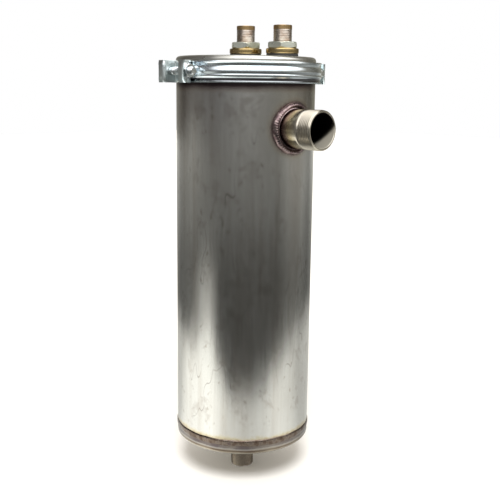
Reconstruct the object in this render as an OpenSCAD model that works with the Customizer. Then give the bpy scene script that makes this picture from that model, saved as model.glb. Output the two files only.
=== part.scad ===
// UV clarifier: an upright stainless steel housing with a side outlet, a
// bottom inlet, a clamped lid and two lamps in quartz sleeves.
// The origin is on the housing axis, at the lower end of the bottom nipple.
// +Z is up and +X points along the side outlet.

/* [Housing] */
// Outside diameter of the housing tube
tube_od = 154; // [150:1:160]
// Wall of the housing tube
tube_wall = 2; // [1.5:0.1:3]
// Underside of the base cap above the nipple's end
base_z = 44; // [30:1:60]
// Upper end of the tube and face of its flange
tube_top_z = 461.5; // [440:0.5:470]
// Sheet thickness of the base cap
cap_wall = 2.5; // [2:0.1:3]
// Outer edge radius of the base cap
cap_edge_r = 5; // [4:0.5:8]

/* [Ports] */
// Height of the outlet's axis
outlet_z = 404.4; // [380:0.1:410]
// Distance from the housing axis to the outlet's mouth
outlet_reach = 117.3; // [105:0.1:130]
// Outside diameter of the outlet's thread, G1 1/4
outlet_od = 41.91; // [41.91]
// Outside diameter of the outlet's plain pipe
outlet_pipe_od = 42.4; // [42.2:0.1:42.4]
// Length of the outlet's thread
outlet_thread_len = 20.5; // [18:0.5:24]
// Bore of the outlet nipple
outlet_bore = 36; // [32:0.5:37]
// Outside diameter of the bottom nipple's thread, G3/4
inlet_od = 26.44; // [26.44]
// Outside diameter of the bottom nipple's plain pipe
inlet_pipe_od = 26.9; // [26.7:0.1:26.9]
// Length of the bottom nipple's thread
inlet_thread_len = 20; // [16:0.5:24]
// Bore of the bottom nipple
inlet_bore = 21; // [18:0.5:22]

/* [Lid] */
// Top face of the lid
lid_top_z = 479.4; // [476:0.1:484]
// Outer radius of the lid's raised rim
lid_r = 77.3; // [77:0.1:77.3]
// Thickness of the lid's plate and rim
lid_wall = 3; // [2:0.5:4]
// Outer radius of the clamped flanges
flange_r = 79; // [78.5:0.1:79]

/* [Clamp ring] */
// Turn of the clamp ring about the housing axis
clamp_turn = -3.4; // [-8:0.1:0]
// Outer radius of the band between its ridges
band_r = 82; // [81.8:0.1:82.2]
// Sheet thickness of the band
band_wall = 1.4; // [1.2:0.1:1.5]
// Half of the gap between two facing ears
ear_gap = 12; // [11:0.5:13]
// Distance from the housing axis to each bolt
bolt_y = 90.9; // [90.9:0.1:91.2]
// Nominal diameter of the clamp bolts, M8
bolt_d = 8; // [8]
// Free end of each bolt, measured from the gap's middle
bolt_end = 28.5; // [26:0.5:34]

/* [Lamps and glands] */
// Radius of the circle through the gland axes
gland_pitch_r = 46; // [44:0.5:48]
// Outside diameter of the gland's tube, a G1/2 thread
gland_od = 20.955; // [20.955]
// Bore of the gland's tube
gland_bore = 17.2; // [17:0.1:17.6]
// Top of the gland's tube
gland_top_z = 515.7; // [510:0.1:520]
// Outside diameter of the brass collar
collar_d = 37; // [34:0.5:38]
// Size of the locknut across its flats
locknut_af = 31; // [30:0.5:32]
// Outside diameter of the quartz sleeve
sleeve_od = 23; // [22:0.5:23]
// Lowest point of the quartz sleeve
sleeve_bottom_z = 80; // [70:1:100]
// Overall length of the lamp without its pins
lamp_len = 357; // [288:1:357]
// Diameter of the lamp's end fittings
lamp_d = 16; // [15:0.5:16]

/* [Hidden] */
$fn = 96;
eps = 0.01;
fit = 0.05;
tube_r = tube_od / 2;
tube_ri = tube_r - tube_wall;
cap_ri = tube_r - cap_wall;
cap_top_z = base_z + 13.2;
weld_gap = 2;
tube_foot_z = cap_top_z + weld_gap;
bead_r = 3.2;
outlet_r = outlet_od / 2;
outlet_pipe_r = outlet_pipe_od / 2;
outlet_inner_x = 72;
outlet_weld_r = 27.5;
inlet_r = inlet_od / 2;
inlet_pipe_r = inlet_pipe_od / 2;
inlet_weld_r = 17;
gasket_t = 2;
gasket_top_z = tube_top_z + gasket_t;
flange_edge_t = 5.5;
flange_slope = tan(20);
lid_edge_r = 4;
lid_under_z = lid_top_z - lid_wall;

clamp_z = (tube_top_z + gasket_top_z) / 2;
band_h = 21.9;
band_lip_r = 83.6;
crest_r = 84.1;
crest_z = 3;
crest_half_h = 4.6;
ridge_r = 83.2;
ridge_z = -2.6;
slit_deg = 0.55;
clamp_gap = 0.3;
leg_r = 77.6;
leg_t = 1.3;
ear_t = 2.5;
ear_h = 23;
ear_flange_y = 98.9;
ear_flange_t = 2;
ear_flange_x = 22;
ear_corner = 1.5;
foot_t = 2;
foot_h = 19;
bolt_z = 463.1;
bolt_hole_d = 9;
washer_t = 1.6;
washer_d = 16;
nut_af = 13;
nut_t = 6.5;
head_t = 5.3;

gland_angles = [138.3, 75];
locknut_turn = [22, 10];
gland_r = gland_od / 2;
seal_t = 2;
top_seal_t = 5;
collar_z = lid_top_z + top_seal_t;
collar_t = 5.9;
locknut_z = collar_z + collar_t;
locknut_t = 7;
gland_stem_r = 10.2;
gland_thread_z = locknut_z + locknut_t + fit + 0.5;
gland_flange_r = 18;
gland_flange_t = 4;
gland_flange_z = lid_under_z - seal_t - gland_flange_t;
bell_r = 15;
bell_z = gland_flange_z - 20;
sleeve_r = sleeve_od / 2;
sleeve_ri = sleeve_r - 1.5;
chamber_r = sleeve_r + 0.3;
shoulder_z = bell_z + 16;
sleeve_top_z = shoulder_z - 0.4;
oring_t = 3;
sleeve_nut_lip = 3;
sleeve_nut_z = bell_z - oring_t - sleeve_nut_lip;
sleeve_nut_t = 14;
sleeve_nut_af = 36;
lamp_z = sleeve_bottom_z + 6;
lamp_r = lamp_d / 2;
lamp_glass_r = 7.75;
lamp_top_fitting = 22;
lamp_foot_fitting = 12;
pin_len = 8;
pin_d = 2.3;
pin_pitch = 3.2;

steel = "#9b9a95";
zinc = "#bccad0";
brass = "#a7864a";
black = "#1d1c1b";
weld = "#7d6a5c";

// ---- shared shapes -------------------------------------------------------

// A ring from two radii, standing on z = 0
module ring(r_out, r_in, h) {
    difference() {
        cylinder(r = r_out, h = h);
        translate([0, 0, -eps]) cylinder(r = r_in, h = h + 2 * eps);
    }
}

// A filled half section from the axis to radius r, with one rounded corner
module rounded_section(r, z0, z1, edge_r, round_top) {
    corner_z = round_top ? z1 - edge_r : z0 + edge_r;
    translate([r - edge_r, corner_z]) circle(r = edge_r);
    translate([0, z0]) square([r - edge_r, z1 - z0]);
    translate([0, round_top ? z0 : corner_z]) square([r, z1 - z0 - edge_r]);
}

// A hexagonal prism from its size across the flats
module hex_prism(af, h) {
    cylinder(r = af / 2 / cos(30), h = h, $fn = 6);
}

// Moves its children onto one gland's axis: side 0 is left, 1 is right
module at_gland(side) {
    rotate([0, 0, gland_angles[side]]) translate([gland_pitch_r, 0, 0])
        rotate([0, 0, -gland_angles[side]]) children();
}

// Turns its children into the clamp ring's own frame
module in_clamp() {
    rotate([0, 0, clamp_turn]) children();
}

// ---- housing -------------------------------------------------------------

module housing_tube() {
    color(steel) difference() {
        translate([0, 0, tube_foot_z])
            ring(tube_r, tube_ri, tube_top_z - tube_foot_z);
        translate([0, 0, outlet_z]) rotate([0, 90, 0])
            cylinder(r = outlet_pipe_r, h = outlet_reach);
    }
}

module vessel_flange() {
    foot_z = tube_top_z - flange_edge_t;
    drop = (flange_r - tube_r) * flange_slope;
    color(steel) rotate_extrude() polygon([
        [tube_r, foot_z - drop], [flange_r, foot_z],
        [flange_r, tube_top_z], [tube_r, tube_top_z]
    ]);
}

module base_cap() {
    color(steel) difference() {
        rotate_extrude() difference() {
            rounded_section(tube_r, base_z, cap_top_z, cap_edge_r, false);
            rounded_section(cap_ri, base_z + cap_wall, cap_top_z + 1,
                            cap_edge_r - cap_wall, false);
        }
        translate([0, 0, base_z - 1]) cylinder(r = inlet_pipe_r, h = cap_wall + 2);
    }
}

module base_weld() {
    mid_z = cap_top_z + weld_gap / 2;
    color(weld) rotate_extrude() {
        translate([cap_ri, cap_top_z]) square([cap_wall, weld_gap]);
        intersection() {
            translate([tube_r - bead_r * 0.66, mid_z]) circle(r = bead_r);
            translate([tube_r, mid_z - bead_r]) square([bead_r, 2 * bead_r]);
        }
    }
}

// A pipe stub along +Z with its thread, a little thinner, at the far end.
module nipple(pipe_r, thread_r, bore, len, thread_len) {
    rotate_extrude() polygon([
        [bore / 2, 0], [pipe_r, 0], [pipe_r, len - thread_len],
        [thread_r, len - thread_len], [thread_r, len], [bore / 2, len]
    ]);
}

module inlet_nipple() {
    len = base_z + cap_wall + 2;
    color(steel) translate([0, 0, len]) rotate([180, 0, 0])
        nipple(inlet_pipe_r, inlet_r, inlet_bore, len, inlet_thread_len);
}

module inlet_weld() {
    color(weld) rotate_extrude() polygon([
        [inlet_pipe_r, base_z], [inlet_weld_r, base_z],
        [inlet_weld_r - 0.8, base_z - 1.9], [inlet_pipe_r + 1.2, base_z - 3.2],
        [inlet_pipe_r, base_z - 3.6]
    ]);
}

module outlet_nipple() {
    color(steel) translate([outlet_inner_x, 0, outlet_z]) rotate([0, 90, 0])
        nipple(outlet_pipe_r, outlet_r, outlet_bore, outlet_reach - outlet_inner_x,
               outlet_thread_len);
}

module outlet_weld() {
    start = tube_r - 8;
    color(weld) difference() {
        translate([start, 0, outlet_z]) rotate([0, 90, 0])
            rotate_extrude() polygon([
                [outlet_pipe_r, 0], [outlet_weld_r, 0], [outlet_weld_r, 9.2],
                [outlet_weld_r - 2, 10.6], [outlet_pipe_r + 1.6, 12.2],
                [outlet_pipe_r, 13.2]
            ]);
        translate([0, 0, outlet_z - outlet_weld_r - 1])
            cylinder(r = tube_r, h = 2 * outlet_weld_r + 2, $fn = 192);
    }
}

// ---- lid -----------------------------------------------------------------

module lid() {
    rim_z = gasket_top_z + flange_edge_t;
    rise = (flange_r - lid_r) * flange_slope;
    color(steel) difference() {
        rotate_extrude() difference() {
            union() {
                rounded_section(lid_r, gasket_top_z, lid_top_z, lid_edge_r, true);
                polygon([
                    [lid_r - 1, gasket_top_z], [flange_r, gasket_top_z],
                    [flange_r, rim_z], [lid_r, rim_z + rise], [lid_r - 1, rim_z + rise]
                ]);
            }
            translate([0, gasket_top_z - 1])
                square([lid_r - lid_wall, lid_under_z - gasket_top_z + 1]);
        }
        for (side = [0, 1])
            at_gland(side) translate([0, 0, lid_under_z - 1])
                cylinder(r = gland_r + 0.3, h = lid_wall + 2);
    }
}

module lid_gasket() {
    color(black) translate([0, 0, tube_top_z])
        ring(flange_r - 0.2, tube_ri, gasket_t);
}

// ---- clamp ring ----------------------------------------------------------

// Outer line of the band as [radius, height from the band's middle]
band_line = [
    [band_lip_r, -band_h / 2], [band_lip_r, -band_h / 2 + 0.9],
    [band_r + 0.3, -band_h / 2 + 1.9], [band_r - 0.3, -7.4], [band_r, -5.2],
    [ridge_r, ridge_z - 0.6], [ridge_r, ridge_z + 0.4],
    [band_r + 0.5, crest_z - crest_half_h + 0.2],
    for (a = [-60 : 20 : 60])
        [crest_r - 1.7 + 1.7 * cos(a), crest_z + crest_half_h * sin(a)],
    [band_r - 0.2, crest_z + crest_half_h + 0.5], [band_r + 0.2, 9.2],
    [band_lip_r, band_h / 2 - 0.9], [band_lip_r, band_h / 2]
];

// The band's section: its outer line, then the same line one wall inwards
module band_section() {
    last = len(band_line) - 1;
    translate([0, clamp_z]) polygon([
        each band_line,
        for (i = [last : -1 : 0]) band_line[i] - [band_wall, 0]
    ]);
}

// Half a ring of the section given as child, on the +X side
module half_ring() {
    rotate([0, 0, -90 + slit_deg])
        rotate_extrude(angle = 180 - 2 * slit_deg) children();
}

module clamp_band(side) {
    color(zinc) in_clamp() rotate([0, 0, side * 180]) half_ring() band_section();
}

// V channel that squeezes the two flanges together
module clamp_retainer(side) {
    low = tube_top_z - flange_edge_t - clamp_gap;
    high = gasket_top_z + flange_edge_t + clamp_gap;
    web_r = flange_r + clamp_gap;
    out_r = band_r - band_wall - 0.3;
    drop = (web_r - leg_r) * flange_slope;
    color(zinc) in_clamp() rotate([0, 0, side * 180]) half_ring() polygon([
        [leg_r, low - drop - leg_t], [out_r, low - leg_t + 0.3],
        [out_r, high + leg_t - 0.3], [leg_r, high + drop + leg_t],
        [leg_r, high + drop], [web_r, high], [web_r, low], [leg_r, low - drop]
    ]);
}

// One formed lug on the +X, +Y end of a half: foot, ear and outer flange
module clamp_lug() {
    z0 = clamp_z - ear_h / 2;
    difference() {
        union() {
            translate([ear_gap, 60, z0])
                cube([ear_t, ear_flange_y + ear_flange_t - 60, ear_h]);
            translate([ear_gap, ear_flange_y, z0])
                cube([ear_flange_x - ear_gap, ear_flange_t, ear_h]);
            for (z = [z0, z0 + ear_h - ear_t])
                translate([ear_gap, ear_flange_y, z])
                    cube([ear_flange_x + ear_corner - ear_gap, ear_flange_t, ear_t]);
            intersection() {
                translate([0, 0, clamp_z - foot_h / 2])
                    cylinder(r = crest_r + foot_t, h = foot_h);
                translate([1.5, 60, clamp_z - foot_h / 2])
                    cube([ear_gap - 1.5 + eps, 40, foot_h]);
            }
        }
        translate([0, 0, z0 - 1]) cylinder(r = crest_r, h = ear_h + 2);
        translate([0, bolt_y, bolt_z]) rotate([0, 90, 0])
            cylinder(d = bolt_hole_d, h = ear_flange_x);
    }
}

module clamp_lugs(side) {
    color(zinc) in_clamp() rotate([0, 0, side * 180]) {
        clamp_lug();
        mirror([0, 1, 0]) clamp_lug();
    }
}

// Places its children on both bolt axes, with +Z turned to the +X direction
module on_bolts(x) {
    for (y = [-bolt_y, bolt_y])
        translate([x, y, bolt_z]) rotate([0, 90, 0]) children();
}

module clamp_bolts() {
    head_face = -(ear_gap + ear_t + washer_t);
    color(zinc) in_clamp() {
        on_bolts(head_face) cylinder(d = bolt_d, h = bolt_end - head_face);
        on_bolts(head_face - head_t) rotate([0, 0, 15]) hex_prism(nut_af, head_t);
    }
}

module clamp_washers(x) {
    color(zinc) in_clamp() on_bolts(x)
        ring(washer_d / 2, bolt_d / 2 + 0.2, washer_t);
}

module clamp_nut(y) {
    face = ear_gap + ear_t + washer_t + fit;
    color(zinc) in_clamp() translate([face, y, bolt_z]) rotate([0, 90, 0])
        difference() {
            rotate([0, 0, 20]) hex_prism(nut_af, nut_t);
            translate([0, 0, -1]) cylinder(r = bolt_d / 2 + fit, h = nut_t + 2);
        }
}

// ---- glands and sleeves --------------------------------------------------

module gland_body(side) {
    color(brass) at_gland(side) rotate_extrude() difference() {
        union() {
            translate([0, bell_z]) square([bell_r, gland_flange_z - bell_z]);
            translate([0, gland_flange_z]) square([gland_flange_r, gland_flange_t]);
            translate([0, bell_z]) square([gland_stem_r, gland_top_z - bell_z]);
            translate([0, gland_thread_z])
                square([gland_r, gland_top_z - gland_thread_z]);
        }
        translate([0, bell_z - 1]) square([chamber_r, shoulder_z - bell_z + 1]);
        translate([0, bell_z]) square([gland_bore / 2, gland_top_z - bell_z + 1]);
    }
}

module gland_inner_seal(side) {
    color(black) at_gland(side) translate([0, 0, gland_flange_z + gland_flange_t])
        ring(gland_flange_r, gland_stem_r, seal_t);
}

module gland_top_seal(side) {
    color(black) at_gland(side) translate([0, 0, lid_top_z])
        ring(collar_d / 2 - 0.5, gland_stem_r, top_seal_t);
}

module gland_collar(side) {
    color(brass) at_gland(side) translate([0, 0, collar_z])
        difference() {
            rotate_extrude() rounded_section(collar_d / 2, 0, collar_t, 1, true);
            translate([0, 0, -1]) cylinder(r = gland_r + fit, h = collar_t + 2);
        }
}

module gland_locknut(side) {
    color(zinc) at_gland(side) translate([0, 0, locknut_z + fit])
        difference() {
            rotate([0, 0, locknut_turn[side]]) hex_prism(locknut_af, locknut_t);
            translate([0, 0, -1]) cylinder(r = gland_r + fit, h = locknut_t + 2);
        }
}

module sleeve_oring(side) {
    color(black) at_gland(side) translate([0, 0, bell_z - oring_t])
        ring(sleeve_r + oring_t, sleeve_r, oring_t);
}

module sleeve_nut(side) {
    color(brass) at_gland(side) translate([0, 0, sleeve_nut_z - fit])
        difference() {
            hex_prism(sleeve_nut_af, sleeve_nut_t);
            translate([0, 0, -1]) cylinder(r = chamber_r, h = sleeve_nut_t);
            translate([0, 0, sleeve_nut_lip])
                cylinder(r = bell_r + fit, h = sleeve_nut_t);
        }
}

module quartz_sleeve(side) {
    dome_z = sleeve_bottom_z + sleeve_r;
    color("white", 0.35) at_gland(side) rotate_extrude() difference() {
        intersection() {
            union() {
                translate([0, dome_z]) circle(r = sleeve_r);
                translate([0, dome_z]) square([sleeve_r, sleeve_top_z - dome_z]);
            }
            translate([0, sleeve_bottom_z]) square([sleeve_r, 500]);
        }
        intersection() {
            union() {
                translate([0, dome_z]) circle(r = sleeve_ri);
                translate([0, dome_z]) square([sleeve_ri, sleeve_top_z - dome_z + 1]);
            }
            translate([0, sleeve_bottom_z]) square([sleeve_ri, 500]);
        }
    }
}

// ---- lamps ---------------------------------------------------------------

module lamp_tube(side) {
    foot = lamp_z + lamp_foot_fitting;
    color("white", 0.5) at_gland(side) translate([0, 0, foot])
        cylinder(r = lamp_glass_r, h = lamp_len - lamp_foot_fitting - lamp_top_fitting);
}

module lamp_top_fitting(side) {
    color("ivory") at_gland(side)
        translate([0, 0, lamp_z + lamp_len - lamp_top_fitting])
            cylinder(r = lamp_r, h = lamp_top_fitting);
}

module lamp_foot_fitting(side) {
    color("ivory") at_gland(side) rotate_extrude() intersection() {
        rounded_section(lamp_r, lamp_z, lamp_z + lamp_foot_fitting, 2, false);
        translate([0, lamp_z]) square([lamp_r, lamp_foot_fitting]);
    }
}

module lamp_pins(side) {
    color("silver") at_gland(side)
        for (x = [-pin_pitch, pin_pitch])
            for (y = [-pin_pitch, pin_pitch])
                translate([x, y, lamp_z + lamp_len]) cylinder(d = pin_d, h = pin_len);
}

housing_tube();
vessel_flange();
base_cap();
base_weld();
inlet_nipple();
inlet_weld();
outlet_nipple();
outlet_weld();
lid();
lid_gasket();
clamp_band(0);  // clamp_band_front
clamp_band(1);  // clamp_band_rear
clamp_retainer(0);  // clamp_retainer_front
clamp_retainer(1);  // clamp_retainer_rear
clamp_lugs(0);  // clamp_lugs_front
clamp_lugs(1);  // clamp_lugs_rear
clamp_bolts();
clamp_washers(ear_gap + ear_t);  // clamp_washers_front
clamp_washers(-ear_gap - ear_t - washer_t);  // clamp_washers_rear
clamp_nut(-bolt_y);  // clamp_nut_left
clamp_nut(bolt_y);  // clamp_nut_right
gland_body(0);  // gland_body_left
gland_body(1);  // gland_body_right
gland_inner_seal(0);  // gland_inner_seal_left
gland_inner_seal(1);  // gland_inner_seal_right
gland_top_seal(0);  // gland_top_seal_left
gland_top_seal(1);  // gland_top_seal_right
gland_collar(0);  // gland_collar_left
gland_collar(1);  // gland_collar_right
gland_locknut(0);  // gland_locknut_left
gland_locknut(1);  // gland_locknut_right
sleeve_oring(0);  // sleeve_oring_left
sleeve_oring(1);  // sleeve_oring_right
sleeve_nut(0);  // sleeve_nut_left
sleeve_nut(1);  // sleeve_nut_right
quartz_sleeve(0);  // quartz_sleeve_left
quartz_sleeve(1);  // quartz_sleeve_right
lamp_tube(0);  // lamp_tube_left
lamp_tube(1);  // lamp_tube_right
lamp_top_fitting(0);  // lamp_top_fitting_left
lamp_top_fitting(1);  // lamp_top_fitting_right
lamp_foot_fitting(0);  // lamp_foot_fitting_left
lamp_foot_fitting(1);  // lamp_foot_fitting_right
lamp_pins(0);  // lamp_pins_left
lamp_pins(1);  // lamp_pins_right
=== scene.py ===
"""Looks for the UV clarifier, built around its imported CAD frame.

Lengths are in metres, or in millimetres where they are multiplied by MM.
Every CAD node is replaced by a finer mesh of the same size and place.
"""
import math

import bmesh
import bpy
from mathutils import Matrix, Vector


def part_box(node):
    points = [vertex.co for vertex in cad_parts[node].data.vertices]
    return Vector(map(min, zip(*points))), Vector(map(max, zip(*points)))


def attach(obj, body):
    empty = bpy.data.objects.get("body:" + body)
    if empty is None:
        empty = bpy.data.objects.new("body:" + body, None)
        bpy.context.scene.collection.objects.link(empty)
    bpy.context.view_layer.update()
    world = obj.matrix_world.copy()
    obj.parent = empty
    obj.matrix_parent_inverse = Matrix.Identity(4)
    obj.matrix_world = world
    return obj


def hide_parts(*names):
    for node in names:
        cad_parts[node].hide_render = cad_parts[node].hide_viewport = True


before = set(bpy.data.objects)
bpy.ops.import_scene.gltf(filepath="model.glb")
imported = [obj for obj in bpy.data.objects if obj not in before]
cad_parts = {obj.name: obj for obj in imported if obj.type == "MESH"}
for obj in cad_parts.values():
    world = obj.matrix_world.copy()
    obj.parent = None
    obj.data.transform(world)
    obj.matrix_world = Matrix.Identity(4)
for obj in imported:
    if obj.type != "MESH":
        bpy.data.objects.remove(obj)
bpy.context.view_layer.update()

MM = 0.001
TAU = 2 * math.pi
SIDES = ("left", "right")


def mm(*values):
    """Millimetres as metres."""
    return tuple(value * MM for value in values)


# Sizes that the CAD boxes don't state directly
TUBE_WALL, CAP_WALL, LID_WALL = mm(2, 2.5, 3)
LID_R = 77.3 * MM
OUTLET_THREAD_R, OUTLET_THREAD_LENGTH, OUTLET_PITCH = mm(20.955, 20.5, 2.309)
OUTLET_BORE_R = 18 * MM
INLET_THREAD_R, INLET_THREAD_LENGTH, INLET_PITCH = mm(13.22, 20, 1.814)
INLET_BORE_R = 10.5 * MM
GLAND_THREAD_R, GLAND_BORE_R, GLAND_PITCH = mm(10.4775, 8.6, 1.814)
BOLT_R, BOLT_PITCH = mm(4, 1.25)
CLAMP_TURN = math.radians(-3.4)
CLAMP_SLIT = math.radians(0.55)
CLAMP_HALVES = {"front": 0.0, "rear": math.pi}


# ---- measurements from the frame ----

def size_of(node):
    low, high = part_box(node)
    return high - low


def round_node(node):
    """A round node's radius, and the heights of its lower and upper ends."""
    low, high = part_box(node)
    return (high.x - low.x) / 2, low.z, high.z


def centre_of(node):
    low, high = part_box(node)
    return (low + high) / 2


tube_low, tube_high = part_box("housing_tube")
cap_low, cap_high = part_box("base_cap")
nipple_low, nipple_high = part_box("outlet_nipple")
TUBE_R = tube_high.x
TUBE_RI = TUBE_R - TUBE_WALL
OUTLET_Z = centre_of("outlet_nipple").z
OUTLET_R = size_of("outlet_nipple").y / 2
OUTLET_WELD_R = size_of("outlet_weld").z / 2
INLET_R = round_node("inlet_nipple")[0]
FLANGE_R = round_node("vessel_flange")[0]
CLAMP_Z = centre_of("clamp_band_front").z
BOLT_Y = (Matrix.Rotation(-CLAMP_TURN, 3, "Z") @ centre_of("clamp_nut_right")).y
BOLT_Z = centre_of("clamp_nut_left").z
GLAND_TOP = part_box("gland_body_left")[1].z


def about_z(angle):
    return Matrix.Rotation(angle, 4, "Z")


def along_x(x, y, z):
    """Matrix that lays a mesh made along +Z along +X, from a point onwards."""
    return Matrix.Translation((x, y, z)) @ Matrix.Rotation(math.pi / 2, 4, "Y")


def gland_place(side):
    """Matrix that sets a mesh made about the Z axis on a gland's axis."""
    centre = centre_of("gland_body_" + side)
    return Matrix.Translation((centre.x, centre.y, 0))


# ---- mesh helpers ----

def new_object(name, data):
    """An object in the scene."""
    item = bpy.data.objects.new(name, data)
    bpy.context.scene.collection.objects.link(item)
    return item


def make_piece(name, mesh, body, node, material, sharp=35):
    """Links a finished mesh as a piece that rides on a body and replaces a node."""
    mesh.polygons.foreach_set("use_smooth", [True] * len(mesh.polygons))
    mesh.set_sharp_from_angle(angle=math.radians(sharp))
    piece = new_object(name, mesh)
    mesh.materials.append(material)
    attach(piece, body)
    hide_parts(node)


def mesh_from(bm, name, place=None):
    """A clean mesh with its normals outwards, moved by the matrix place."""
    bmesh.ops.remove_doubles(bm, verts=bm.verts, dist=2e-7)
    bmesh.ops.dissolve_degenerate(bm, edges=bm.edges, dist=1e-7)
    bmesh.ops.recalc_face_normals(bm, faces=bm.faces)
    if place is not None:
        bm.transform(place)
    mesh = bpy.data.meshes.new(name)
    bm.to_mesh(mesh)
    bm.free()
    return mesh


def skin(bm, rows, closed=True):
    """Faces between rows of vertices; closed joins each row's last to its first."""
    faces = []
    for a, b in zip(rows, rows[1:]):
        for j in range(len(a) if closed else len(a) - 1):
            k = (j + 1) % len(a)
            faces.append(bm.faces.new((a[j], a[k], b[k], b[j])))
    return faces


def revolve(name, rings, segments=128, arc=None, place=None):
    """Turns a closed section about Z. A ring is (r, z) or a function of the angle.

    arc is (start, end) in radians for a part turn, which gets flat ends.
    place is a matrix for the finished mesh.
    """
    start, end = arc or (0.0, TAU)
    bm = bmesh.new()
    columns = []
    for i in range(segments + 1):
        angle = start + (end - start) * i / segments
        column = []
        for ring in rings:
            r, z = ring(angle) if callable(ring) else ring
            column.append(bm.verts.new((r * math.cos(angle), r * math.sin(angle), z)))
        columns.append(column)
    skin(bm, columns)
    if arc:
        bm.faces.new(columns[0])
        bm.faces.new(columns[-1][::-1])
    return mesh_from(bm, name, place)


def turned(name, rings, segments, body, node, material, arc=None, place=None,
           sharp=35):
    """A piece made by revolve."""
    mesh = revolve(name, rings, segments, arc, place)
    make_piece(name, mesh, body, node, material, sharp)


def rounded(corners, steps=4):
    """A closed outline with each corner (x, y, radius) turned into an arc."""
    points = []
    count = len(corners)
    for i, (x, y, radius) in enumerate(corners):
        here = Vector((x, y))
        if radius <= 0:
            points.append((x, y))
            continue
        before = (Vector(corners[i - 1][:2]) - here).normalized()
        after = (Vector(corners[(i + 1) % count][:2]) - here).normalized()
        half = before.angle(after) / 2
        first, last = (here + way * radius / math.tan(half) for way in (before, after))
        middle = here + (before + after).normalized() * radius / math.sin(half)
        spoke = first - middle
        turn = spoke.angle_signed(last - middle)
        for s in range(steps + 1):
            point = spoke.copy()
            point.rotate(Matrix.Rotation(-turn * s / steps, 2))
            points.append(tuple(middle + point))
    return points


def ring_section(r0, r1, z0, z1, low=0, high=0, inner=0, steps=4):
    """A plain ring's section, with radii on its lower, upper and inner corners."""
    return rounded([(r0, z0, inner), (r1, z0, low), (r1, z1, high), (r0, z1, inner)], steps)


def thread(r, depth, pitch, z0, z1, fade0=0.0, fade1=0.0, chamfer=0.0):
    """Helical rings of a V thread from z0 to z1, for revolve.

    fade0 and fade1 are run-out lengths, and chamfer narrows the z1 end.
    """
    tooth = (0.0, 0.0, 0.55, 1.0, 1.0, 0.55)
    step = len(tooth)
    length, way = abs(z1 - z0), 1 if z1 > z0 else -1
    turns = math.ceil(length / pitch) + 1

    def ring_at(j):
        def ring(angle):
            along = min(max(pitch * (j / step - 1 + angle / TAU), 0.0), length)
            left = length - along
            amount = depth * tooth[j % step]
            if fade0:
                amount *= min(1.0, along / fade0)
            if fade1:
                amount *= min(1.0, left / fade1)
            cut = max(0.0, chamfer - left)
            return min(r - amount, r - cut), z0 + way * along
        return ring
    return [ring_at(j) for j in range(turns * step + 1)]


def hex_ring(af, limit, z):
    """A ring that follows a hexagon of size af, cut to the radius limit."""
    def ring(angle):
        off = (angle + math.pi / 6) % (math.pi / 3) - math.pi / 6
        corner_angle = math.pi / 6 - abs(off)
        return min(af / 2 / math.cos(corner_angle), limit), z
    return ring


def hex_rings(af, z0, z1):
    """A hexagon from z0 up to z1, chamfered at both ends, as rings for revolve."""
    corner = af / 2 / math.cos(math.pi / 6)
    small = af / 2 * 0.985
    depth = (corner - af / 2) * 0.6
    cuts = [(small + (corner - small) * t, depth * t) for t in (0, 0.25, 0.5, 0.75, 1)]
    rings = [hex_ring(af, limit, z0 + d) for limit, d in cuts]
    return rings + [hex_ring(af, limit, z1 - d) for limit, d in reversed(cuts)]


def modified(mesh, kind, **settings):
    """The mesh after one modifier."""
    holder = new_object("modified", mesh)
    modifier = holder.modifiers.new("modifier", kind)
    for key, value in settings.items():
        setattr(modifier, key, value)
    graph = bpy.context.evaluated_depsgraph_get()
    result = bpy.data.meshes.new_from_object(holder.evaluated_get(graph))
    bpy.data.objects.remove(holder)
    return result


def drilled(mesh, r, z0, z1, segments, place):
    """The mesh less a round rod, which place puts where the hole is."""
    rod = revolve("rod", ring_section(0, r, z0, z1), segments, place=place)
    cutter = new_object("cutter", rod)
    result = modified(
        mesh, "BOOLEAN", operation="DIFFERENCE", solver="EXACT", object=cutter)
    bpy.data.objects.remove(cutter)
    return result


# ---- materials ----

class Signal:
    """A node's output; sums with it become math nodes."""

    def __init__(self, look, socket):
        self.look = look
        self.socket = socket

    def __add__(self, other):
        return self.look.math("ADD", self, other)

    def __sub__(self, other):
        return self.look.math("SUBTRACT", self, other)

    def __rsub__(self, other):
        return self.look.math("SUBTRACT", other, self)

    def __mul__(self, other):
        return self.look.math("MULTIPLY", self, other)

    def __truediv__(self, other):
        return self.look.math("DIVIDE", self, other)


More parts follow.
